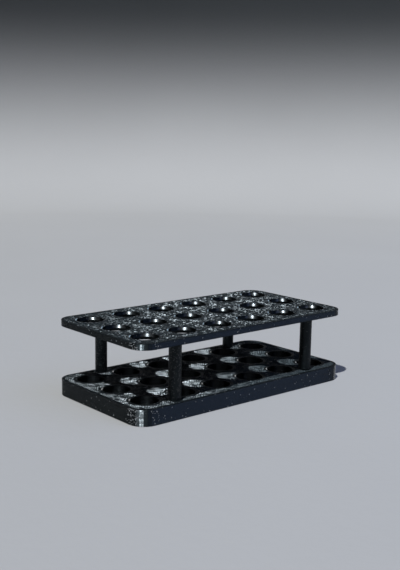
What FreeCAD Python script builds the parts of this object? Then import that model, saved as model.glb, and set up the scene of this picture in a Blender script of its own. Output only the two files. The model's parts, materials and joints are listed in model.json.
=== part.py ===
import FreeCAD, Part
import os

from FreeCAD import Vector

# Bench rack for small snap-cap sample tubes, printed in one piece of black plastic.
# A thick base with a blind well for every tube carries a thin drilled deck on four
# round posts. Each tube drops through a guide hole in the deck and stands in the well
# right below it.
#
# Millimetres. The origin is the centre of the base's underside, +Z is up and +X runs
# along the rack's long side.

# ---- the tubes and their grid -------------------------------------------------------
TUBE_DIAMETER = 10.8      # body of a 1.5 ml or 2 ml tube, just under its rim
TUBE_CLEARANCE = 0.2      # on the diameter, so that a tube lifts out with one hand
COLUMNS = 6               # along the long side
ROWS = 3                  # along the short side
PITCH = 18.0              # centre to centre, the same both ways

# ---- the outline that base and deck share -------------------------------------------
END_MARGIN = 10.0         # from the centres of the end columns to the short sides
SIDE_MARGIN = 10.75       # from the centres of the outer rows to the long sides
CORNER_RADIUS = 7.0       # of the four upright corners

# ---- the heights, from the bench up -------------------------------------------------
WELL_FLOOR = 1.5          # plastic left under each well
BASE_THICKNESS = 6.5
CLEAR_HEIGHT = 22.0       # open space between base and deck
DECK_THICKNESS = 2.5

# ---- the posts ----------------------------------------------------------------------
POST_DIAMETER = 5.0
POST_SETBACK = 2.0        # from a post's side to the long side of the outline
POST_OFFSET = 0.5         # off the midline between two columns, towards the rack's middle

# ---- sizes that follow from those ---------------------------------------------------
BORE_RADIUS = (TUBE_DIAMETER + TUBE_CLEARANCE) / 2
POST_RADIUS = POST_DIAMETER / 2
LENGTH = (COLUMNS - 1) * PITCH + 2 * END_MARGIN
WIDTH = (ROWS - 1) * PITCH + 2 * SIDE_MARGIN
DECK_UNDERSIDE = BASE_THICKNESS + CLEAR_HEIGHT
DECK_TOP = DECK_UNDERSIDE + DECK_THICKNESS


def centred_steps(count):
    """Positions of a row of holes, one pitch apart and centred on zero."""
    first = -(count - 1) * PITCH / 2
    return [first + step * PITCH for step in range(count)]


def rounded_slab(bottom, thickness):
    """A plate with the rack's outline, its upright corners rounded."""
    slab = Part.makeBox(LENGTH, WIDTH, thickness, Vector(-LENGTH / 2, -WIDTH / 2, bottom))
    uprights = [edge for edge in slab.Edges if abs(edge.tangentAt(edge.FirstParameter).z) > 0.5]
    return slab.makeFillet(CORNER_RADIUS, uprights)


def posts():
    """Four round posts in the side margins, between the two columns at either end."""
    post_x = centred_steps(COLUMNS)[-1] - PITCH / 2 - POST_OFFSET
    post_y = WIDTH / 2 - POST_SETBACK - POST_RADIUS
    return [
        Part.makeCylinder(POST_RADIUS, CLEAR_HEIGHT, Vector(x, y, BASE_THICKNESS))
        for x in (-post_x, post_x)
        for y in (-post_y, post_y)
    ]


def tube_bores():
    """One straight bore for every tube, from the floor of its well out through the deck.

    The well and the guide hole are one bore on one axis, so they can't drift apart.
    """
    depth = DECK_TOP - WELL_FLOOR
    return [
        Part.makeCylinder(BORE_RADIUS, depth, Vector(x, y, WELL_FLOOR))
        for x in centred_steps(COLUMNS)
        for y in centred_steps(ROWS)
    ]


def tube_rack():
    """The whole rack as the single solid that it is printed as."""
    base = rounded_slab(0, BASE_THICKNESS)
    deck = rounded_slab(DECK_UNDERSIDE, DECK_THICKNESS)
    frame = base.fuse([deck] + posts())
    return frame.cut(Part.makeCompound(tube_bores())).removeSplitter()


def write_step(node, shape):
    """Check one finished piece, save it under its node's name and print its sizes."""
    solid = shape.Solids[0]
    assert len(shape.Solids) == 1 and solid.isValid() and solid.isClosed(), node
    solid.exportStep(os.path.join("parts", node + ".step"))
    box = solid.BoundBox
    print(f"{node}: {box.XLength:.2f} x {box.YLength:.2f} x {box.ZLength:.2f} mm, "
          f"{solid.Volume / 1000:.2f} cm3, {len(solid.Faces)} faces")


os.makedirs("parts", exist_ok=True)
write_step("tube_rack", tube_rack())
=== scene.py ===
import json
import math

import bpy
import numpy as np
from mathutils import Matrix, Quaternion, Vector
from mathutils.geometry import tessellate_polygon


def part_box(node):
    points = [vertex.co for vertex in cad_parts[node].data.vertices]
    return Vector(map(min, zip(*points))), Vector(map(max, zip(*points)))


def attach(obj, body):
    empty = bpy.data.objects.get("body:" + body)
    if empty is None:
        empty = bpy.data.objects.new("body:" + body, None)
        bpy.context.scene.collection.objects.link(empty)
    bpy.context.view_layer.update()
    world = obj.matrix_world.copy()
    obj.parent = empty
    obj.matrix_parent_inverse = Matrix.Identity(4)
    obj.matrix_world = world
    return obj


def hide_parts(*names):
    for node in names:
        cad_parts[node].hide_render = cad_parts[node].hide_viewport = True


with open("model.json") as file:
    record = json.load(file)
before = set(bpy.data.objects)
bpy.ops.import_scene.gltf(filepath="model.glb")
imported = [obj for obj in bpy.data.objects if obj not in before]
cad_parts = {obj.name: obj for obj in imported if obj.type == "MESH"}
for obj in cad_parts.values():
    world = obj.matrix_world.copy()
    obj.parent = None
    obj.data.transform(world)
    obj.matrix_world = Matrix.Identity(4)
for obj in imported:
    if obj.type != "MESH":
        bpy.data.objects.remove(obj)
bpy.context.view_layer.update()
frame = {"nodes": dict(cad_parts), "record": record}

# %% [markdown]
# # A tube rack, dressed as the print that it is
#
# The rack is one piece of black plastic, laid down by a hot nozzle as thousands of beads. Its
# exact solid comes with the frame. This lesson replaces the smooth solid with the beads that
# the real one shows: stacked layers on every upright wall, rings round every hole, and a
# diagonal raster on every level face. The beads are geometry, because the sparkle of such a
# print comes off their round shoulders. What is finer than a bead, such as specks, gloss and
# grain, is left to the finishes.
#
# Everything below is in metres, in the frame's own axes: +Z up, +X along the six columns.

MM = 0.001
random = np.random.default_rng(seed=18)

# %% [markdown]
# ## Sizes
#
# Nothing is measured twice. The outline comes from the solid's own corners, and the bore from
# the record's mount. Numbers typed in by hand would go stale once the solid changed, and the
# beads would float or sink.

# %% Read the outline and the bore
ON_FACE = 0.001 * MM  # a point this near to a face counts as lying on it

rack = frame["nodes"]["tube_rack"]
record = frame["record"]
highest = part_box("tube_rack")[1]
HALF_SIZE = np.array([highest.x, highest.y])
corners = np.array([vertex.co for vertex in rack.data.vertices])
end_face = corners[corners[:, 0] > highest.x - ON_FACE]
CORNER_RADIUS = HALF_SIZE[1] - end_face[:, 1].max()

bore = next(mount for mount in record["mounts"] if mount["kind"] == "bore")
BORE_RADIUS = bore["dims"]["r_mm"] * MM
DECK_TOP = highest.z
WELL_FLOOR = DECK_TOP - bore["dims"]["length_mm"] * MM
print("corner radius", round(CORNER_RADIUS / MM, 2), "mm, bore radius", BORE_RADIUS / MM, "mm")

# %% [markdown]
# The record also states the room that the rack leaves free: a box in each tube place, and
# boxes in the gaps between base, deck and posts. Each box is kept a hair clear of the plastic,
# which begins that much beyond it. The one tube place without a box is the mount.

# %% Read the gaps, the posts and the tube places
CLEARANCE = 0.2 * MM  # between a gap's box and the plastic round it

openings = {opening["name"]: opening["box_m"] for opening in record["physics"]["openings"]}
through_width = openings["gap_between_posts_through_width"]
through_length = openings["gap_between_posts_through_length"]
BASE_TOP = through_width[0][2] - CLEARANCE
DECK_UNDERSIDE = through_width[1][2] + CLEARANCE
post_inner = through_width[1][0] + CLEARANCE
post_outer = openings["gap_outside_posts_right"][0][0] - CLEARANCE
POST_RADIUS = (post_outer - post_inner) / 2
POST_X = (post_outer + post_inner) / 2
POST_Y = through_length[1][1] + CLEARANCE + POST_RADIUS

HOLES = [np.array(bore["pos_m"][:2])]
for name, (low, high) in openings.items():
    if name.startswith("tube_place"):
        HOLES.append((np.array(low[:2]) + np.array(high[:2])) / 2)
PITCH = min(np.hypot(*(hole - HOLES[0])) for hole in HOLES[1:])
print(len(HOLES), "tube places,", round(PITCH / MM, 2), "mm apart, posts at",
      round(POST_X / MM, 2), round(POST_Y / MM, 2), "mm")

# %% [markdown]
# ## The bead
#
# A bead leaves a 0.4 mm nozzle as a flattened rod. Beside a wall it repeats every layer, and
# on a level face every 0.42 mm. The crest of each bead just reaches the solid's surface and
# its grooves lie inside, so that the dressed rack is never larger.

# %% Sizes of the beads
LAYER = 0.25 * MM  # height of one printed layer
BEAD = 0.42 * MM  # width of one bead on a level face
RINGS = 3  # beads side by side round every hole and every outline
SKIN = 0.12 * MM  # from a level face down to the sheet that carries its beads
WANDER = 0.012 * MM  # how far one bead may lie deeper than the next
print("bead", BEAD / MM, "mm wide, layer", LAYER / MM, "mm high")

# %% [markdown]
# ## One mesh for each piece
#
# The print has no separate parts, but it has faces of different kinds, and each becomes one
# piece. A modifier could repeat a bead over a plate, but it couldn't stop one at a hole, so the
# points are worked out here and gathered in a Mesh. Shading is smooth along a bead and sharp
# in the groove where two beads meet.

# %% Mesh
CREASE = math.radians(10)  # an edge that bends more than this stays sharp


def in_scene(name, data):
    """A new object in the scene."""
    made = bpy.data.objects.new(name, data)
    bpy.context.scene.collection.objects.link(made)
    return made


class Mesh:
    """Vertices and faces of one piece, gathered bit by bit."""

    def __init__(self, *finishes):
        self.finishes = finishes
        self.finish = finishes[0]
        self.points = []
        self.faces = []
        self.painted = []
        self.count = 0

    def add(self, points, faces):
        """Adds new points, and faces that number them from zero."""
        points = np.asarray(points, float).reshape(-1, 3)
        self.points.append(points)
        self.join((np.asarray(faces) + self.count).tolist())
        self.count += len(points)

    def join(self, faces):
        """Adds faces between points that are already there, in the current finish."""
        self.faces += faces
        self.painted += [self.finishes.index(self.finish)] * len(faces)

    def piece(self, name):
        """The finished object, which rides on the rack's body and stands for its solid."""
        mesh = bpy.data.meshes.new(name)
        mesh.from_pydata(np.concatenate(self.points).tolist(), [], self.faces)
        mesh.shade_smooth()
        mesh.set_sharp_from_angle(angle=CREASE)
        for finish in self.finishes:
            mesh.materials.append(finish)
        mesh.polygons.foreach_set("material_index", self.painted)
        made = in_scene(name, mesh)
        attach(made, "root")
        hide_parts("tube_rack")
        triangles = sum(len(face) - 2 for face in self.faces)
        print(f"{name}: {triangles} triangles")


print("edges sharp from", round(math.degrees(CREASE)), "degrees")

# %% [markdown]
# ## Loops to follow
#
# A nozzle follows closed loops: the rack's rounded outline, and a circle for every hole and
# post. Blender's curves could hold them, but plain arrays are easier to offset ring by ring.
# Each loop is a list of points, with the direction at each that points out of the plastic. A
# hole runs the other way round, so the same wall-building code faces into the hole.

# %% Outline
CORNER_FACETS = 7  # facets in each rounded corner, as a slicer cuts it
STRETCH = 3 * MM  # longest step along a straight side


def outline():
    """Points and outward directions round the rack."""
    points, outward = [], []
    for quarter in range(4):
        start = quarter * math.pi / 2
        angles = start + np.arange(CORNER_FACETS + 1) * math.pi / 2 / CORNER_FACETS
        side_x = 1 if quarter in (0, 3) else -1
        side_y = 1 if quarter in (0, 1) else -1
        centre = (HALF_SIZE - CORNER_RADIUS) * (side_x, side_y)
        arc = np.stack([np.cos(angles), np.sin(angles)], 1)
        if points:
            points.append(straight(points[-1][-1], centre + CORNER_RADIUS * arc[0]))
            outward.append(np.repeat(arc[:1], len(points[-1]), 0))
        points.append(centre + CORNER_RADIUS * arc)
        outward.append(arc)
    points.append(straight(points[-1][-1], points[0][0]))
    outward.append(np.repeat([[1.0, 0.0]], len(points[-1]), 0))
    return np.concatenate(points), np.concatenate(outward)


def straight(start, end):
    """Points on a straight side, without its two ends."""
    steps = max(1, round(np.linalg.norm(end - start) / STRETCH))
    share = np.arange(1, steps)[:, None] / steps
    return start + (end - start) * share


print("outline of", len(outline()[0]), "points")

# %% Circles
def circle(centre, radius, steps, hole):
    """Points and outward directions round a post, or into a hole."""
    turn = -1 if hole else 1
    angles = turn * np.arange(steps) * math.tau / steps
    arc = np.stack([np.cos(angles), np.sin(angles)], 1)
    return centre + radius * arc, turn * arc


print("a post's circle starts towards", circle(np.zeros(2), POST_RADIUS, 4, hole=False)[1][0])

# %% [markdown]
# ## Walls of stacked layers
#
# An upright wall is a stack of beads: a shallow groove between two layers, and a rounded face
# on each. Bump could fake the grooves from far off, but only real ones throw the light up and
# down, so that the upright faces pick up the sky. Each layer also lies about a hundredth of a
# millimetre deeper or prouder than the next.

# %% Profiles of a layer
# A profile lists one layer's points from the bottom up: a share of its height, a share of the groove.
ROUND_LAYER = ((0, 1), (0.35, 0.115), (0.5, 0), (0.65, 0.115))
PRESSED_LAYER = ((0, 1), (0.15, 0.2), (0.5, 0), (0.85, 0.2))
PLAIN_LAYER = ((0, 1), (0.5, 0))
SQUASHED_LAYER = ((0, 0.2), (0.5, 0))
LAYER_GROOVE = 0.08 * MM  # depth of the groove between two layers of a wall
RIPPLE = 0.004 * MM  # unevenness along one layer
print("wall profile of", len(ROUND_LAYER), "points a layer")

# %% Wall builder
def wall(mesh, loop, bottom, top, profile=ROUND_LAYER, groove=LAYER_GROOVE, wander=WANDER, squashed=0):
    """Stacks layers along a loop, the lowest ones squashed; returns its end rings."""
    points, outward = loop
    layers = max(1, round((top - bottom) / LAYER))
    step = (top - bottom) / layers
    heights, insets = [], []
    for layer in range(layers):
        lies_in = random.uniform(0, wander)
        for share, in_groove in SQUASHED_LAYER if layer < squashed else profile:
            heights.append(bottom + (layer + share) * step)
            insets.append(in_groove * groove + lies_in * (1 - in_groove))
    heights.append(top)
    insets.append(groove)
    around, rings = len(points), len(heights)
    inward = np.array(insets)[:, None] + random.uniform(0, RIPPLE, (rings, around))
    plan = points[None] - outward[None] * inward[:, :, None]
    level = np.broadcast_to(np.array(heights)[:, None, None], (rings, around, 1))
    first = mesh.count
    mesh.add(np.concatenate([plan, level], 2), band_faces(rings, around))
    ring = np.arange(around)
    return first + ring, first + (rings - 1) * around + ring


def band_faces(rings, around):
    """Quads between closed rings of points that follow each other."""
    ring = np.arange(rings - 1)[:, None] * around
    here = np.arange(around)[None]
    there = (here + 1) % around
    quads = np.stack([ring + here, ring + there, ring + around + there, ring + around + here], 2)
    return quads.reshape(-1, 4)


print("two rings of three points make", len(band_faces(2, 3)), "faces")

# %% [markdown]
# ## Sheets under the beads
#
# Inside the print, beads lie on beads. That can't be seen, so one flat sheet just under each
# level face closes the gaps between them. It is cut into triangles between the rings of the
# walls that it meets, which shares their points and leaves no open edge.

# %% Sheet builder
def sheet(mesh, rings, facing_up):
    """A level sheet with holes, sewn to the rings of points that bound it."""
    stacked = np.concatenate(mesh.points)
    loops = [[Vector(stacked[index]) for index in ring] for ring in rings]
    index = np.concatenate(rings)
    triangles = index[np.array(tessellate_polygon(loops))]
    a, b, c = (stacked[triangles[:, corner]] for corner in range(3))
    flip = (np.cross(b - a, c - a)[:, 2] > 0) != facing_up
    triangles[flip] = triangles[flip][:, ::-1]
    mesh.join(triangles.tolist())


print("sheets lie", SKIN / MM, "mm under the level faces")

# %% [markdown]
# ## Beads on the level faces
#
# Seen from above, a print's level face is a field of long flat rods: closed rings round holes
# and outlines, laid first, and straight runs that fill the rest. One builder sweeps the same
# lens-shaped section along either path. The groove to each side has its own depth, because
# how far a bead is pressed into its neighbour makes one spot dull and the next one glint.

# %% Sections of a bead
def section(across, drop):
    """Both halves of a bead's section: shares of its width, and of the depth of its grooves."""
    across, drop = np.array(across), np.array(drop)
    return np.concatenate([-across[:0:-1], across]), np.concatenate([drop[:0:-1], drop])


ROUND_BEAD = section([0, 0.2, 0.31, 0.5], [0, 0.28, 0.95, 1.0])
FLAT_BEAD = section([0, 0.33, 0.44, 0.5], [0, 0.12, 0.5, 1.0])
PLAIN_BEAD = section([0, 0.35, 0.5], [0, 0.2, 1.0])
print("bead section of", len(ROUND_BEAD[0]), "points")

# %% Bead builder
def bead(mesh, path, side, crest, grooves, facing, shape, closed=False, width=BEAD):
    """Sweeps one bead along a path. grooves holds the depth on the left and the right."""
    across, drop = shape
    left, right = grooves
    depth = np.where(across[None] < 0, left[:, None], right[:, None]) * drop[None]
    reach = across[None] * np.broadcast_to(width, len(path))[:, None]
    plan = path[:, None] + side[:, None] * reach[:, :, None]
    level = (crest[:, None] - facing * depth)[:, :, None]
    around, rings = len(across), len(path)
    faces = band_faces(rings, around)
    if closed:
        last = np.arange(around) + (rings - 1) * around
        first = np.arange(around)
        joint = np.stack([last, np.roll(last, -1), np.roll(first, -1), first], 1)
        faces = np.concatenate([faces, joint])
    if facing < 0:
        faces = faces[:, ::-1]
    mesh.add(np.concatenate([plan, level], 2), faces)
    if not closed:
        cap = np.arange(around) + mesh.count - around * rings
        far_cap = cap + around * (rings - 1)
        mesh.join([cap[::-facing].tolist(), far_cap[::facing].tolist()])


print("a bead fills", BEAD / MM, "mm")

# %% [markdown]
# ## Rings round the holes and the outline
#
# Before a slicer fills a face it draws its edges, three beads wide. They follow the loops of
# the walls, one bead further in each time. The outermost one drops down to meet the wall, and
# the other grooves vary in depth.

# %% Ring builder
RING_GROOVE = 0.035 * MM
RING_EDGE = 0.10 * MM  # drop of the first ring's outer edge, down to the wall
UNEVEN = (0.5, 1.3)  # least and most share of a groove's depth


def rims(mesh, loops, level, facing, shape):
    """Rings of beads that start at each loop and work their way into the plastic."""
    for points, outward in loops:
        steps = len(points)
        for ring in range(RINGS):
            path = points - outward * (ring + 0.5) * BEAD
            outer = np.full(steps, RING_EDGE) if ring == 0 else RING_GROOVE * random.uniform(*UNEVEN, steps)
            inner = RING_GROOVE * random.uniform(*UNEVEN, steps)
            crest = level - facing * random.uniform(0, WANDER, steps)
            bead(mesh, path, outward, crest, (inner, outer), facing, shape, closed=True)


print(RINGS, "rings cover", round(RINGS * BEAD / MM, 2), "mm")

# %% [markdown]
# ## Free plastic
#
# A slicer fills what the rings leave with straight diagonal runs, so it has to know where
# plastic is. Cutting long beads with booleans would be slow and ragged. Instead each face
# gets a test that says whether a point lies on it: a distance to the outline and to each
# hole, less an inset that keeps the runs off the rings.

# %% Tests for free plastic
def on_underside(points, inset):
    """True where a point lies within the outline. The underside has no holes."""
    beyond = np.maximum(np.abs(points) - (HALF_SIZE - CORNER_RADIUS), 0)
    return np.hypot(beyond[:, 0], beyond[:, 1]) < CORNER_RADIUS - inset


def to_hole(points):
    """How far each point lies from the nearest hole's axis."""
    return np.min([np.hypot(*(points - centre).T) for centre in HOLES], 0)


def on_plate(points, inset):
    """True where a point lies on base or deck, clear of the rings."""
    return on_underside(points, inset) & (to_hole(points) > BORE_RADIUS + inset)


def on_well_floor(points, inset):
    """True where a point lies on the floor of a well."""
    return to_hole(points) < BORE_RADIUS - inset


print("from the middle to a hole's axis:", round(to_hole(np.zeros((1, 2)))[0] / MM, 1), "mm")

# %% [markdown]
# ## Filling a face with a raster
#
# The builder walks along each diagonal in small steps, asks whether the point is on free
# plastic, and lays a bead along every stretch where it is. On the real face some grooves stand
# open and glint while others are fused shut, and open ones come in clumps where the nozzle
# ran thin. So each bit of groove draws its depth from one of two ranges.

# %% Sizes of the raster
MARCH = 0.05 * MM  # step of the walk along a diagonal
RUN_STEP = 0.8 * MM  # distance between two sections of a bead
OPEN_GROOVE = (0.07 * MM, 0.12 * MM)
FUSED_GROOVE = (0.004 * MM, 0.012 * MM)
CLUMPING = 0.5  # how much a groove takes after its neighbour
CREST_WANDER = 0.02 * MM  # how far a crest may lie under the face
END_WIDTH = 0.5  # a run's rounded end: share of its width there,
END_TAPER = BEAD / 3  # length over which it narrows,
END_DROP = BEAD / 10  # and how far it droops
RASTER_ANGLE = math.radians(41.5)  # a slicer's 45 degrees, less the turn of the print on its bed
DIAGONAL = np.array([-math.sin(RASTER_ANGLE), math.cos(RASTER_ANGLE)])
ACROSS_DIAGONAL = np.array([math.cos(RASTER_ANGLE), math.sin(RASTER_ANGLE)])
REACH = np.hypot(*HALF_SIZE)  # from the middle of the rack to the end of any diagonal
print("raster of up to", round(2 * REACH / BEAD), "diagonals")

# %% Raster builder
def grooves_and_crests(lines, steps, open_share):
    """Random depths of the grooves, a share of them open, and of the crests between."""
    spots = random.normal(size=(lines, steps))
    clumps = spots + CLUMPING * np.roll(spots, 1, 0)
    is_open = clumps > np.quantile(clumps, 1 - open_share)
    depths = np.where(is_open, random.uniform(*OPEN_GROOVE, (lines, steps)),
                      random.uniform(*FUSED_GROOVE, (lines, steps)))
    return depths, random.uniform(0, CREST_WANDER, (lines, steps))


def raster(mesh, covers, inset, level, facing, shape, run_step, open_share):
    """Fills a face with diagonal runs, wherever covers says that it has free plastic."""
    march = np.arange(-REACH, REACH, MARCH)
    lines = int(2 * REACH / BEAD)
    grid = np.arange(-REACH, REACH + run_step, run_step)
    depths, crests = grooves_and_crests(lines + 1, len(grid), open_share)
    for line in range(lines):
        centre = ACROSS_DIAGONAL * ((line + 0.5) * BEAD - REACH)
        free = covers(centre + march[:, None] * DIAGONAL, inset)
        turns = np.flatnonzero(np.diff(np.concatenate([[False], free, [False]]).astype(int)))
        for start, end in zip(march[turns[::2]], march[turns[1::2] - 1]):
            if end - start < BEAD:
                continue
            inner = grid[(grid > start + BEAD) & (grid < end - BEAD)]
            where = np.concatenate([[start, start + END_TAPER], inner, [end - END_TAPER, end]])
            ends = np.ones(len(where))
            ends[[0, -1]] = END_WIDTH
            left = np.interp(where, grid, depths[line])
            right = np.interp(where, grid, depths[line + 1])
            crest = level - facing * np.interp(where, grid, crests[line])
            crest[[0, -1]] -= facing * END_DROP
            path = centre + where[:, None] * DIAGONAL
            side = np.repeat(ACROSS_DIAGONAL[None], len(where), 0)
            bead(mesh, path, side, crest, (left, right), facing, shape, width=BEAD * ends)


print("a run's end narrows over", round(END_TAPER / MM, 2), "mm")

# %% [markdown]
# ## Arithmetic on shader values
#
# A finish is easier to read as a sum than as a net of nodes. A Value wraps one output of a
# node, and each operator on it adds the Math node that does the sum. A plain number may stand
# on either side, so that 1 - mask works.

# %% Values
def operator(operation, swapped=False):
    """A method that adds one Math node between a Value and a number or another Value."""
    def add_node(self, other):
        first, second = (other, self) if swapped else (self, other)
        return self.finish.node("Math", {"operation": operation}, {0: first, 1: second})
    return add_node


class Value:
    """One output of a node. Arithmetic on it adds Math nodes to its finish."""

    def __init__(self, finish, socket):
        self.finish = finish
        self.socket = socket

    __add__ = __radd__ = operator("ADD")
    __mul__ = __rmul__ = operator("MULTIPLY")
    __sub__ = operator("SUBTRACT")
    __rsub__ = operator("SUBTRACT", swapped=True)
    __mod__ = operator("FLOORED_MODULO")
    __gt__ = operator("GREATER_THAN")
    __lt__ = operator("LESS_THAN")
    least = operator("MINIMUM")

    def within(self, low, high):
        """1 where the value lies between two numbers, 0 elsewhere."""
        return (self > low) * (self < high)


print("a Value knows + - * % < >, least and within")

# %% [markdown]
# ## A material, built node by node
#
# Everything that isn't a sum on numbers comes from one method, node, which takes the node's
# type, its settings and what goes into its sockets. The settings come first, because they
# decide which sockets are in use. Every pattern starts from a point's own place on the rack,
# so that it stays put when the rack or the camera moves.

# %% Finish
class Finish:
    """A material, built node by node."""

    def __init__(self, name):
        self.material = bpy.data.materials.new(name)
        self.material.use_nodes = True
        self.nodes = self.material.node_tree.nodes
        self.links = self.material.node_tree.links
        self.nodes.clear()
        self.place = self.node("TexCoord", output="Object")

    def node(self, kind, settings=None, inputs=None, output=0):
        """Adds a node and returns one of its outputs."""
        made = self.nodes.new("ShaderNode" + kind)
        for name, value in (settings or {}).items():
            setattr(made, name, value)
        for name, value in (inputs or {}).items():
            socket = self.pick(made.inputs, name)
            if isinstance(value, Value):
                self.links.new(value.socket, socket)
            else:
                socket.default_value = value
        return Value(self, self.pick(made.outputs, output)) if made.outputs else made

    @staticmethod
    def pick(sockets, name):
        """A socket by name or number, among those that the node's settings leave in use."""
        used = [socket for socket in sockets if socket.enabled]
        return used[name] if isinstance(name, int) else next(s for s in used if s.name == name)

    def plastic(self, colour, roughness, normal, **more):
        """Ends the material as a plastic with these values."""
        inputs = {"Base Color": colour, "Roughness": roughness, "Normal": normal}
        inputs.update({name.replace("_", " "): value for name, value in more.items()})
        shader = self.node("BsdfPrincipled", inputs=inputs)
        self.node("OutputMaterial", inputs={"Surface": shader})
        return self.material


print("a finish starts with its place only")

# %% [markdown]
# ## Places and distances
#
# Much of what changes over the print follows its shape: how high a point is, or how far it
# lies from a hole or a seam. Painted masks could hold that, but these helpers work it out
# from the place, at any size. They use Vector Math, since a Math node would make a single
# number of a place or a colour.

# %% Places
def vector(operation, first, *others):
    """Arithmetic on places and colours."""
    return first.finish.node("VectorMath", {"operation": operation}, dict(enumerate((first, *others))))


def along(axis, place):
    """One coordinate of a place."""
    return place.finish.node("SeparateXYZ", inputs={"Vector": place}, output=axis)


def flat(finish):
    """The point's place as seen from above."""
    return vector("MULTIPLY", finish.place, (1.0, 1.0, 0.0))


def from_hole(finish):
    """The way from the nearest hole's axis to the point, as seen from above."""
    half = (PITCH / 2, PITCH / 2, PITCH / 2)
    away = vector("SUBTRACT", flat(finish), (*HOLES[0], 0.0))
    return vector("WRAP", away, half, tuple(-side for side in half))


def ramp(value, start, end, low=0.0, high=1.0, kind="LINEAR"):
    """Goes from low to high while a value goes from start to end."""
    inputs = {"Value": value, "From Min": start, "From Max": end, "To Min": low, "To Max": high}
    return value.finish.node("MapRange", {"interpolation_type": kind}, inputs)


print("holes repeat every", round(PITCH / MM, 2), "mm")

# %% [markdown]
# ## Blotches, cells and colours
#
# The rest is chance. Noise gives soft blotches, for tones and gloss that drift, and a Voronoi
# pattern gives small cells, each with a random colour. A fleck on the real print is a tiny
# face of plastic that leans its own way, so the colour that picks a cell also leans it.

# %% Blotches and cells
def blotches(finish, size, detail=2.0):
    """Soft random blotches of about this size, from 0 to 1."""
    return finish.node("TexNoise", inputs={"Vector": finish.place, "Scale": 1 / size, "Detail": detail},
                       output="Fac")


def cells(finish, size):
    """Small cells of about this size, each with a random colour."""
    centre = finish.node("TexVoronoi", inputs={"Vector": finish.place, "Scale": 1 / size}, output="Position")
    return finish.node("TexWhiteNoise", inputs={"Vector": centre}, output="Color")


print("helpers: blotches, cells")

# %% Colours and directions
def channel(colour, name):
    """One number out of a colour."""
    return colour.finish.node("SeparateColor", inputs={"Color": colour}, output=name)


def mix(factor, first, second):
    """A colour between two colours."""
    inputs = {"Factor": factor, "A": first, "B": second}
    return factor.finish.node("Mix", {"data_type": "RGBA"}, inputs, output="Result")


def bump(height, depth):
    """The surface's direction once a height from 0 to 1 has been raised on it."""
    return height.finish.node("Bump", inputs={"Strength": 1.0, "Distance": depth, "Height": height})


def lean(normal, colour, amount):
    """The surface's direction leaned over by a random colour times an amount."""
    sideways = vector("SCALE", vector("SUBTRACT", colour, AVERAGE), amount)
    return vector("NORMALIZE", vector("ADD", normal, sideways))


def grey(value, tint=(1.0, 1.0, 1.0)):
    """A tinted grey."""
    return (value * tint[0], value * tint[1], value * tint[2], 1.0)


AVERAGE = (0.5, 0.5, 0.5)  # of the cells' random colours
COOL = (0.78, 0.93, 1.0)  # the blue cast of the plastic's gloss
WARM = (1.14, 1.03, 0.97)  # the cast of the painted highlights on the base's rings, and of the floor
print("tints:", COOL, WARM)

# %% [markdown]
# ## Black plastic
#
# The rack is printed from one spool of black plastic with a blue cast in its gloss, so all its
# finishes come from one recipe. Tone and roughness drift a little, since every bead cools at
# its own pace, a very fine grain breaks up the reflections, and small flecks lie scattered:
# specks of stray plastic that lean their own way, whose pale tone is a painted glint. A finish
# may add masks of its own: glossy or dull spots, a pale painted highlight, or a painted sheen
# that lightens the tone. The gloss comes from the weight of a coat, which may change from
# place to place.

# %% Recipe of the plastic
DRIFT = (6 * MM, 3)  # size and detail of the slow drift,
PATCHES = (1.3 * MM, 2)  # and of smaller patches
DRIFT_PART = 0.6  # their parts in the roughness
PATCH_PART = 0.4
PATCHES_ON_SHEEN = 0.4  # what the patches add to a finish's painted sheen
DULLER = 0.3  # roughness that a dull spot gains
FLECK_LEAN = 1.5  # how far a fleck's face leans
COAT_ROUGHNESS = 0.25


def black_plastic(name, tones, roughness, grain, flecks, fleck_size=0.5 * MM, speck_and_glint_tone=0.1, gloss=0.4,
                  coat=None, coat_ior=1.8, dull=None, pale=None, painted_glint_tone=grey(0.5, COOL), painted_sheen_mask=None):
    """Black plastic between two tones and two roughnesses. A mask is a function of the finish."""
    finish = Finish(name)
    patches = blotches(finish, *PATCHES)
    lot = cells(finish, fleck_size)
    is_fleck = channel(lot, "Blue") < (flecks(finish) if callable(flecks) else flecks)
    # A painted sheen, where a finish has one, lightens the random patches of tone.
    tone_and_sheen = painted_sheen_mask(finish) + PATCHES_ON_SHEEN * patches if painted_sheen_mask else patches
    colour = mix(tone_and_sheen, grey(tones[0], COOL), grey(tones[1], COOL))
    # Flecks take a pale tone: a painted glint over their leaning faces.
    colour = mix(is_fleck, colour, grey(speck_and_glint_tone))
    # The pale mask paints a highlight into the colour.
    if pale:
        colour = mix(pale(finish), colour, painted_glint_tone)
    drift = blotches(finish, *DRIFT) * DRIFT_PART + patches * PATCH_PART
    rough = roughness[0] + (roughness[1] - roughness[0]) * drift
    if dull:
        rough = rough + DULLER * dull(finish)
    grained = bump(blotches(finish, grain[0]), grain[1])
    more = {"Specular_IOR_Level": gloss, "Specular_Tint": grey(1.0, COOL)}
    if coat:
        more.update(Coat_Weight=coat(finish), Coat_Roughness=COAT_ROUGHNESS, Coat_IOR=coat_ior)
    print(f"{name}: {len(finish.nodes)} nodes before the shader")
    return finish.plastic(colour, rough, lean(grained, lot, is_fleck * FLECK_LEAN), **more)


print("tones drift over", DRIFT[0] / MM, "mm, patches over", PATCHES[0] / MM, "mm")

# %% [markdown]
# ## Seams of the walls
#
# A printer starts and ends each layer of a wall at a seam by a corner, and leaves a zit of
# plastic there. Zits could be modelled, but they are smaller than a bead, and more flecks near a
# seam look the same. The flecks' pale tone is a painted glint.

# %% Flecks near the seams
FEW_FLECKS = 0.006  # share of the cells that are flecks, far from any seam
MANY_FLECKS = 0.22  # and on a seam
SEAM_REACH = 4 * MM
FAR_SEAM = (HALF_SIZE[0] - 3.9 * MM, -HALF_SIZE[1] + 0.7 * MM, 0.0)
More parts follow.
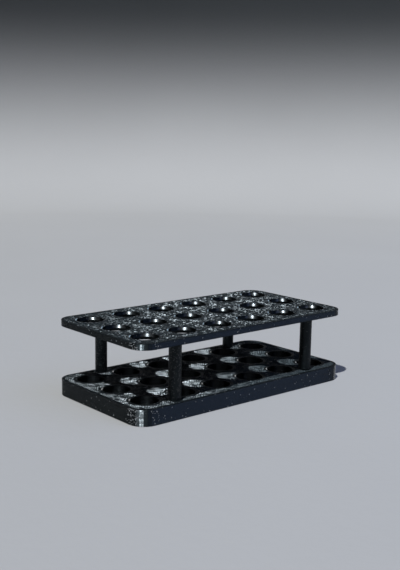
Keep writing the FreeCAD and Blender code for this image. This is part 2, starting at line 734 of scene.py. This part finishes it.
# Each seam is a place, and how much shorter than SEAM_REACH its zits reach.
SEAMS = (((-HALF_SIZE[0] + 0.6 * MM, -HALF_SIZE[1] + CORNER_RADIUS - 1.5 * MM, 0.0), 0.0),
         ((-HALF_SIZE[0] + CORNER_RADIUS, -HALF_SIZE[1], 0.0), 1.8 * MM), (FAR_SEAM, 2.4 * MM))


def near_seam(finish):
    """The share of flecks, which grows towards each seam."""
    first, second, third = (vector("DISTANCE", flat(finish), seam) + less for seam, less in SEAMS)
    return ramp(first.least(second).least(third), 0.0, SEAM_REACH, MANY_FLECKS, FEW_FLECKS)


print(len(SEAMS), "seams")

# %% [markdown]
# ## Corners of the walls
#
# The upright corners look unlike the straight walls. The turning nozzle drags the middle of
# each dull, and where it slows down it leaves gloss: on the base a line beside a row of drops,
# on the deck a narrow line only. Corners as pieces of their own would show a join, so masks
# say how far round a corner a point lies.

# %% Masks of the corners
CORNER_MIDDLE = (0.4, 0.6)  # shares of the radius over which the middle of a corner begins
BASE_DRAG, DECK_DRAG = 0.55, 0.35  # how dull the middle of a corner is
DULL_COAT = 0.02  # coat where a corner has no line and no drop
DROPS_END = 0.05 * MM  # the row of drops lies to one side of the corner's own diagonal
DROP_SIZE, DROP_LIMIT = 0.7 * MM, 0.45  # blotches above the limit are drops
DROP_COAT, AROUND_DROPS = 0.7, 0.2
BASE_LINE, BASE_LINE_COAT = (0.3 * MM, 0.72 * MM), 0.8
DECK_LINE, DECK_LINE_COAT = (-0.5 * MM, -0.1 * MM), 0.5
FAR_SEAM_GLOSS = 1.7 * MM  # reach of the glossy patch by the far seam


def in_corner(finish):
    """1 in the middle of each upright corner."""
    across = vector("ABSOLUTE", finish.place)
    beyond = along("X", across).least(along("Y", across) + (HALF_SIZE[0] - HALF_SIZE[1]))
    share = (beyond - (HALF_SIZE[0] - CORNER_RADIUS)) * (1 / CORNER_RADIUS)
    return ramp(share, *CORNER_MIDDLE, kind="SMOOTHSTEP")


def corner_dull(finish):
    """The drag of the nozzle, which is stronger on the base."""
    is_deck = along("Z", finish.place) > BASE_TOP
    return in_corner(finish) * (BASE_DRAG - (BASE_DRAG - DECK_DRAG) * is_deck)


def corner_gloss(finish):
    """Lines and drops in the corners, and a patch by the far seam of the base."""
    across = vector("ABSOLUTE", finish.place)
    aside = (along("Y", across) - along("X", across)
             + (HALF_SIZE[0] - HALF_SIZE[1])) * math.sqrt(0.5)
    is_drop = blotches(finish, DROP_SIZE) > DROP_LIMIT
    drops = (aside < DROPS_END) * (AROUND_DROPS + DROP_COAT * is_drop)
    on_base = DULL_COAT + drops + BASE_LINE_COAT * aside.within(*BASE_LINE)
    on_deck = DULL_COAT + DECK_LINE_COAT * aside.within(*DECK_LINE)
    is_deck = along("Z", finish.place) > BASE_TOP
    by_seam = (vector("DISTANCE", flat(finish), FAR_SEAM) < FAR_SEAM_GLOSS) * (1 - is_deck)
    return in_corner(finish) * (on_base * (1 - is_deck) + on_deck * is_deck) + by_seam


print("gloss line of the base", round((BASE_LINE[1] - BASE_LINE[0]) / MM, 2), "mm wide")

# %% Finish of the walls
# The flecks gather at the seams as zits, and their pale tone is a painted glint.
wall_finish = black_plastic("printed_wall", tones=(0.003, 0.006), roughness=(0.22, 0.30),
                            grain=(0.45 * MM, 0.014 * MM), flecks=near_seam, fleck_size=0.35 * MM,
                            speck_and_glint_tone=0.5, coat=corner_gloss, dull=corner_dull)

# %% [markdown]
# ## Inside the bores
#
# A bore is a deep black hole with one bright side, where the nozzle came round last and the
# plastic cooled slowest. Its first layers over the open gap sagged, were squashed and have no
# shine. The mask asks how far a point lies towards that side, and how high.

# %% Finish of the bores
FINE_GRAIN = (0.3 * MM, 0.006 * MM)  # size and depth
SHINY_SIDE = (0.75, 0.66, 0.0)  # direction from a hole's axis
SHINE_STARTS, SHINE_FULL = 0.84 * BORE_RADIUS, 0.96 * BORE_RADIUS
SQUASHED_HEIGHT = 1.1 * MM


def bore_gloss(finish):
    """The coat of a bore's shiny side."""
    towards = vector("DOT_PRODUCT", from_hole(finish), SHINY_SIDE)
    side = ramp(towards, SHINE_STARTS, SHINE_FULL, kind="SMOOTHSTEP")
    return side * (1 - along("Z", finish.place).within(BASE_TOP, DECK_UNDERSIDE + SQUASHED_HEIGHT))


bore_finish = black_plastic("printed_bore", tones=(0.001, 0.002), roughness=(0.20, 0.26), grain=FINE_GRAIN,
                            flecks=0.005, gloss=0.15, coat=bore_gloss, coat_ior=1.9)

# %% [markdown]
# ## Round the posts
#
# The posts are the dullest upright plastic, because so slim a section never quite cools. Their
# tones, darker than the walls', are painted shade under the deck, and fewer pale flecks paint the
# posts at the +X end darker still. One ramp along the rack does that for all four.

# %% Finish of the posts
FLECKS_LEFT, FLECKS_RIGHT = 0.12, 0.02


def painted_shade_to_the_right(finish):
    """The share of flecks on the posts, lower towards +X: painted shade."""
    return ramp(along("X", finish.place), -POST_X, POST_X, FLECKS_LEFT, FLECKS_RIGHT)


# Its darker tones, and its fewer flecks towards +X, are painted shade.
post_finish = black_plastic("printed_posts", tones=(0.001, 0.004), roughness=(0.36, 0.46), grain=FINE_GRAIN,
                            flecks=painted_shade_to_the_right, fleck_size=0.3 * MM, speck_and_glint_tone=0.08, gloss=0.25)

# %% [markdown]
# ## Rings with a painted highlight
#
# The innermost ring of every hole gets a pale mark at the same side: a painted highlight, where
# the rim's edge catches the light. On the deck these marks are alike. On the base blotches set
# how far each mark reaches. On the deck more flecks lie round the holes, too.

# %% Finishes of the rings
RIM_GLINT_SPOT = (-0.76 * BORE_RADIUS, 0.65 * BORE_RADIUS, 0.0)  # from a hole's axis
FIRST_RING = BORE_RADIUS + 0.4 * MM
ALL_RINGS = BORE_RADIUS + 1.4 * MM
DECK_GLINT_REACH = 1.6 * MM
BASE_GLINT_REACH, BASE_GLINT_LEAST = 4 * MM, 0.3
BLOTCH_OF_GLINTS = 20 * MM
OUTLINE_FLECKS, MORE_FLECKS = 0.02, 0.10


def painted_rim_glint(finish, reach=DECK_GLINT_REACH):
    """1 on the innermost ring of each hole, within reach of the spot where a highlight is painted."""
    away = from_hole(finish)
    at_edge = vector("LENGTH", away) < FIRST_RING
    return at_edge * (vector("DISTANCE", away, RIM_GLINT_SPOT) < reach)


def uneven_painted_rim_glint(finish):
    """The same, with a reach that drifts over the base."""
    return painted_rim_glint(finish, (blotches(finish, BLOTCH_OF_GLINTS) - BASE_GLINT_LEAST) * BASE_GLINT_REACH)


def round_holes(finish):
    """The share of flecks on the rings."""
    return OUTLINE_FLECKS + MORE_FLECKS * (vector("LENGTH", from_hole(finish)) < ALL_RINGS)


# The pale mark on the innermost ring of each hole is a painted highlight.
rim_finish = black_plastic("printed_rims", tones=(0.008, 0.017), roughness=(0.34, 0.44), grain=FINE_GRAIN,
                           flecks=round_holes, fleck_size=0.45 * MM, speck_and_glint_tone=0.4, gloss=0.08,
                           pale=painted_rim_glint)
# Here too the pale marks are painted highlights, and the tones, darker than those of the deck's rings, are
# painted shade, since the base lies under the deck.
base_rim_finish = black_plastic("printed_rims_of_base", tones=(0.006, 0.012), roughness=(0.34, 0.44),
                                grain=FINE_GRAIN, flecks=0.03, fleck_size=0.45 * MM, speck_and_glint_tone=0.2,
                                gloss=0.05, pale=uneven_painted_rim_glint, painted_glint_tone=grey(0.4, WARM))

# %% [markdown]
# ## Sparkle of the deck
#
# The deck's raster is what catches the eye: hundreds of short glints on black. Its beads are
# glossy in spots only, more so towards one end and away from the holes, and less along the
# front edge. An even gloss would draw the glints out into long streaks, so cells choose the
# spots and ramps set how strong they are.

# %% Finish of the deck's raster
GLOSSY_CELL = 0.4 * MM
DULL_SHARE = 0.6
LEAST_SHINE, MORE_SHINE, SHINE_BLOTCH = 0.3, 1.2, 2 * MM
ALONG_DECK = (-55 * MM, 35 * MM, 0.27, 0.85)  # ramps: from, to, and the gloss at each
FROM_DECK_FRONT = (-27.5 * MM, -23.5 * MM, 0.2, 1.0)
FROM_HOLE = (BORE_RADIUS + 1.0 * MM, BORE_RADIUS + 4.2 * MM, 0.6, 1.15)


def off_crests(finish):
    """1 in the cells that came out dull."""
    return channel(cells(finish, GLOSSY_CELL), "Red") < DULL_SHARE


def deck_gloss(finish):
    """The coat of the glossy spots."""
    shine = LEAST_SHINE + MORE_SHINE * blotches(finish, SHINE_BLOTCH)
    out = vector("LENGTH", from_hole(finish))
    return ((1 - off_crests(finish)) * shine * ramp(along("X", finish.place), *ALONG_DECK)
            * ramp(along("Y", finish.place), *FROM_DECK_FRONT) * ramp(out, *FROM_HOLE))


raster_finish = black_plastic("printed_raster", tones=(0.006, 0.026), roughness=(0.22, 0.32),
                              grain=(0.4 * MM, 0.06 * MM), flecks=0.05, fleck_size=0.45 * MM,
                              speck_and_glint_tone=0.3, gloss=0.15, coat=deck_gloss, dull=off_crests)

# %% [markdown]
# ## Weave of the base
#
# The light patches on the base show a fine weave and not single glints. Each run crosses the
# beads of the layer below, and is pressed dull wherever one lies under it. Towards one corner
# the plastic also loses gloss, and a painted sheen makes its tone a shade paler there. The
# crossings are a repeat along the runs, bent by blotches, since beads never lie quite even.

# %% Masks of the base's top
CROSSINGS = 0.86 * MM  # distance between two beads of the layer below, along a run
PRESSED_SHARE = 0.55
WEAVE_BEND, WEAVE_BLOTCH = 2.5, 5 * MM  # how far the rows of crossings wander
SHEEN_AND_GLOSS_WAY = (0.76, -0.65, 0.0)
SHEEN_AND_GLOSS_STARTS, SHEEN_AND_GLOSS_ENDS = -12 * MM, 25 * MM
GLOSS_WARM, GLOSS_COLD = 0.8, 0.08
PAINTED_SHEEN_LEAST, PAINTED_SHEEN_MOST = 0.0, 0.8
FROM_BASE_FRONT = (-26 * MM, -21 * MM, 0.35, 1.0)


def over_crossings(finish):
    """1 where a run is pressed dull."""
    way = vector("DOT_PRODUCT", finish.place, (*DIAGONAL, 0.0))
    turns = way * (1 / CROSSINGS) + WEAVE_BEND * blotches(finish, WEAVE_BLOTCH, detail=1)
    return turns % 1.0 < PRESSED_SHARE


def gloss_and_sheen_ramp(finish, at_start, at_end):
    """A value that changes from one corner of the base's top to the other."""
    way = vector("DOT_PRODUCT", finish.place, SHEEN_AND_GLOSS_WAY)
    return ramp(way, SHEEN_AND_GLOSS_STARTS, SHEEN_AND_GLOSS_ENDS, at_start, at_end)


def base_gloss(finish):
    """The coat between the crossings, weaker along the front edge."""
    by_front = ramp(along("Y", finish.place), *FROM_BASE_FRONT)
    return (1 - over_crossings(finish)) * gloss_and_sheen_ramp(finish, GLOSS_WARM, GLOSS_COLD) * by_front


def painted_sheen(finish):
    """How much painted sheen lightens the base's top, from none at one corner to most at the other."""
    return gloss_and_sheen_ramp(finish, PAINTED_SHEEN_LEAST, PAINTED_SHEEN_MOST)


print("crossings every", CROSSINGS / MM, "mm")

# %% Finish of the base's raster
# The base's top turns a shade paler towards one corner: that tone is a painted sheen.
base_finish = black_plastic("printed_raster_of_base", tones=(0.006, 0.034), roughness=(0.22, 0.30),
                            grain=(0.4 * MM, 0.03 * MM), flecks=0.03, gloss=0.1, coat=base_gloss,
                            dull=over_crossings, painted_sheen_mask=painted_sheen)

# %% [markdown]
# ## Under the deck
#
# A deck printed in mid-air needs supports, which are broken off afterwards. The face that lay
# on them is rough and matt, with no sparkle at all, so the plain recipe is enough.

# %% Finish over the supports
under_finish = black_plastic("printed_over_supports", tones=(0.006, 0.012), roughness=(0.6, 0.8),
                             grain=(0.5 * MM, 0.02 * MM), flecks=0.02)

# %% [markdown]
# ## The base
#
# The base is a thick slab: stacked layers round the outside and in each well, a sheet under
# either level face, and the beads on those sheets. Wells and outside share one mesh, so that
# the sheet can be sewn to both, and take two finishes.

# %% Shell of the base
HOLE_STEPS = 48
WELL_GROOVE = 0.05 * MM


def hole_loops():
    return [circle(centre, BORE_RADIUS, HOLE_STEPS, hole=True) for centre in HOLES]


def base_shell():
    shell = Mesh(wall_finish, bore_finish)
    rim_low, rim_high = wall(shell, outline(), SKIN, BASE_TOP - SKIN)
    tops = [rim_high]
    shell.finish = bore_finish
    for loop in hole_loops():
        floor, mouth = wall(shell, loop, WELL_FLOOR - SKIN, BASE_TOP - SKIN, PLAIN_LAYER, WELL_GROOVE)
        sheet(shell, [floor], facing_up=True)
        tops.append(mouth)
    sheet(shell, tops, facing_up=True)
    sheet(shell, [rim_low], facing_up=False)
    shell.piece("base_shell")


base_shell()

# %% [markdown]
# Rings and raster of the base's top lie on its sheet. In the wells and underneath, where no
# light falls, plainer and longer beads save faces, and no groove stands open.

# %% Beads of the base
RASTER_INSET = RINGS * BEAD - 0.2 * BEAD  # the raster's ends run a little under the rings
HIDDEN_STEP = 6 * MM  # between two sections of a bead that hardly shows


def level_rims(name, level, facing, finish, shape=FLAT_BEAD):
    """A piece of rings round every hole and the outline."""
    beads = Mesh(finish)
    rims(beads, [outline()] + hole_loops(), level, facing, shape)
    beads.piece(name)


def level_raster(name, covers, inset, level, facing, finish, open_share,
                 shape=ROUND_BEAD, run_step=RUN_STEP):
    """A piece of diagonal runs."""
    beads = Mesh(finish)
    raster(beads, covers, inset, level, facing, shape, run_step, open_share)
    beads.piece(name)


level_rims("base_top_rims", BASE_TOP, 1, base_rim_finish)
level_raster("base_top_raster", on_plate, RASTER_INSET, BASE_TOP, 1, base_finish, open_share=0.75)
level_raster("well_floors", on_well_floor, 0, WELL_FLOOR, 1, raster_finish, 0, PLAIN_BEAD, HIDDEN_STEP)
underside = Mesh(raster_finish)
rims(underside, [outline()], 0, -1, PLAIN_BEAD)
raster(underside, on_underside, RASTER_INSET, 0, -1, PLAIN_BEAD, HIDDEN_STEP, 0)
underside.piece("base_underside")

# %% [markdown]
# ## The deck
#
# The deck repeats the base's outline and holes in a thin plate. Its holes go right through,
# so it carries rings and raster on both faces. The lowest layers of each hole hung in the air
# and are squashed flat.

# %% Deck
SQUASHED_LAYERS = 4
UNDER_STEP = 4 * MM  # between two sections of a bead under the deck


def deck_shell():
    shell = Mesh(wall_finish, bore_finish)
    low, high = wall(shell, outline(), DECK_UNDERSIDE + SKIN, DECK_TOP - SKIN)
    lows, highs = [low], [high]
    shell.finish = bore_finish
    for loop in hole_loops():
        low, high = wall(shell, loop, DECK_UNDERSIDE + SKIN, DECK_TOP - SKIN, squashed=SQUASHED_LAYERS)
        lows.append(low)
        highs.append(high)
    sheet(shell, highs, facing_up=True)
    sheet(shell, lows, facing_up=False)
    shell.piece("deck_shell")


deck_shell()
level_rims("deck_top_rims", DECK_TOP, 1, rim_finish)
level_raster("deck_top_raster", on_plate, RASTER_INSET, DECK_TOP, 1, raster_finish, open_share=0.5)
level_rims("deck_underside_rims", DECK_UNDERSIDE, -1, under_finish, PLAIN_BEAD)
level_raster("deck_underside_raster", on_plate, RASTER_INSET, DECK_UNDERSIDE, -1, under_finish, 0,
             PLAIN_BEAD, UNDER_STEP)

# %% [markdown]
# ## The posts
#
# Four slim round posts join base and deck. So small a section has little time to cool, so its
# layers are pressed together and wander more than those of the slabs. A screw modifier would
# make the layers of all four the same.

# %% Posts
POST_STEPS = 32
POST_GROOVE = 0.03 * MM
POST_WANDER = 0.03 * MM

posts = Mesh(post_finish)
for post_x in (-POST_X, POST_X):
    for post_y in (-POST_Y, POST_Y):
        post_loop = circle(np.array([post_x, post_y]), POST_RADIUS, POST_STEPS, hole=False)
        foot, head = wall(posts, post_loop, BASE_TOP - SKIN, DECK_UNDERSIDE + SKIN, PRESSED_LAYER,
                          POST_GROOVE, POST_WANDER)
        sheet(posts, [foot], facing_up=False)
        sheet(posts, [head], facing_up=True)
posts.piece("posts")

# %% [markdown]
# ## The studio floor
#
# The rack stands on a pale floor that bends up into a wall all round, so every view has the
# same quiet background. The wall is lower by the key light, so that its shadow stays off the
# floor.

# %% Shape of the floor
KEY_DISTANCE = 2
KEY_PLACE = Vector((-0.445, -0.205, 0.872)) * KEY_DISTANCE
FLOOR_RADIUS = 0.95
MIDDLE_RADIUS = 0.3  # of the flat middle, which is one face
WALL_BEND = 0.25  # radius of the bend, and the wall's height by the key light
WALL_HEIGHT = 0.6
BEND_STEPS = 13
FLOOR_STEPS = 96


def floor_mesh():
    """A flat disc with a wall round it."""
    bends = np.linspace(0, math.pi / 2, BEND_STEPS)
    radii = FLOOR_RADIUS - WALL_BEND + WALL_BEND * np.sin(bends)
    radii = np.concatenate([[MIDDLE_RADIUS], radii, [FLOOR_RADIUS]])
    heights = np.concatenate([[0.0], WALL_BEND - WALL_BEND * np.cos(bends), [WALL_HEIGHT]])
    turn = np.arange(FLOOR_STEPS) * math.tau / FLOOR_STEPS
    levels = np.repeat(heights[:, None], FLOOR_STEPS, 1)
    facing_key = np.cos(turn - math.atan2(KEY_PLACE.y, KEY_PLACE.x))
    levels[-1] -= (WALL_HEIGHT - WALL_BEND) * np.maximum(facing_key, 0)
    rings = np.stack([radii[:, None] * np.cos(turn), radii[:, None] * np.sin(turn), levels], 2)
    faces = band_faces(len(radii), FLOOR_STEPS)[:, ::-1].tolist() + [list(range(FLOOR_STEPS))]
    mesh = bpy.data.meshes.new("studio_floor")
    mesh.from_pydata(rings.reshape(-1, 3).tolist(), [], faces)
    mesh.shade_smooth()
    return mesh


floor = in_scene("studio_floor", floor_mesh())
print("floor", FLOOR_RADIUS * 2, "m across")

# %% [markdown]
# The floor is matt card, not quite even in tone. A white wall would mirror itself in every
# glossy bead and turn the black rack grey, so the card darkens with height.

# %% Finish of the floor
CARD_TONES = (0.44, 0.47)
DARK_TONE = 0.035
DARKENS_FROM, DARKENS_TO = 0.02, 0.28
CARD_BLOTCH, CARD_GRAIN, CARD_DEPTH = 0.15, 0.004, 0.0001
CARD_ROUGHNESS, CARD_SHEEN = 0.9, 0.1

card = Finish("pale_floor")
tone = blotches(card, CARD_BLOTCH, detail=3)
pale = mix(tone, grey(CARD_TONES[0], WARM), grey(CARD_TONES[1], WARM))
fade = ramp(along("Z", card.place), DARKENS_FROM, DARKENS_TO, kind="SMOOTHSTEP")
colour = mix(fade, pale, grey(DARK_TONE))
grained = bump(blotches(card, CARD_GRAIN), CARD_DEPTH)
floor.data.materials.append(card.plastic(colour, CARD_ROUGHNESS - CARD_SHEEN * tone, grained))
print("floor finish of", len(card.nodes), "nodes")

# %% [markdown]
# ## Light
#
# The key light is high and fairly small, because the rack's own charm is the rows of light
# patches that fall through the deck's holes onto the base. A larger key would be softer, but
# it would wash them out. A weak blue lamp stands across from it, and a faint world fills the
# rest.

# %% Lamps and world
MIDDLE = Vector((0, 0, 0.015))


def aimed(name, data, place, target, roll=0.0):
    """A new lamp or camera that looks at a target."""
    made = in_scene(name, data)
    made.location = place
    made.rotation_mode = "QUATERNION"
    looking = (target - made.location).to_track_quat("-Z", "Y")
    made.rotation_quaternion = looking @ Quaternion((0, 0, 1), roll)
    return made


def lamp(name, kind, energy, place, colour, **settings):
    """A lamp that looks at the middle of the rack."""
    data = bpy.data.lights.new(name, kind)
    data.energy = energy
    data.color = colour
    for setting, value in settings.items():
        setattr(data, setting, value)
    aimed(name, data, place, MIDDLE)
    print(f"{name}: {kind.lower()} of {energy}")


lamp("key", "SUN", energy=3.2, place=KEY_PLACE, colour=(0.82, 0.93, 1.0), angle=math.radians(1.5))
lamp("cool_fill", "AREA", energy=2.6, place=(0.42, -0.50, 0.72), colour=(0.33, 0.50, 1.0), size=0.9)
world = bpy.data.worlds.new("soft_world")
world.use_nodes = True
background = world.node_tree.nodes["Background"].inputs
background["Color"].default_value = (0.8, 0.9, 1.0, 1.0)
background["Strength"].default_value = 0.07
bpy.context.scene.world = world
bpy.context.scene.view_settings.view_transform = "Standard"

# %% [markdown]
# ## Camera
#
# The camera stands low before one corner, held with a trace of roll. From there the deck's
# sparkle is seen at a flat angle, and the light patches show in the gap under it.

# %% Camera
CAMERA_PLACE = (-0.24486, -0.28120, 0.11040)
CAMERA_AIM = Vector((0.0988, 0.1184, 0.0150))
CAMERA_ROLL = math.radians(0.967)

camera_data = bpy.data.cameras.new("camera")
camera_data.lens = 57.84
camera_data.sensor_width = 36.0
camera = aimed("camera", camera_data, CAMERA_PLACE, CAMERA_AIM, CAMERA_ROLL)
bpy.context.scene.camera = camera
print("camera", round(camera.location.length, 2), "m away")
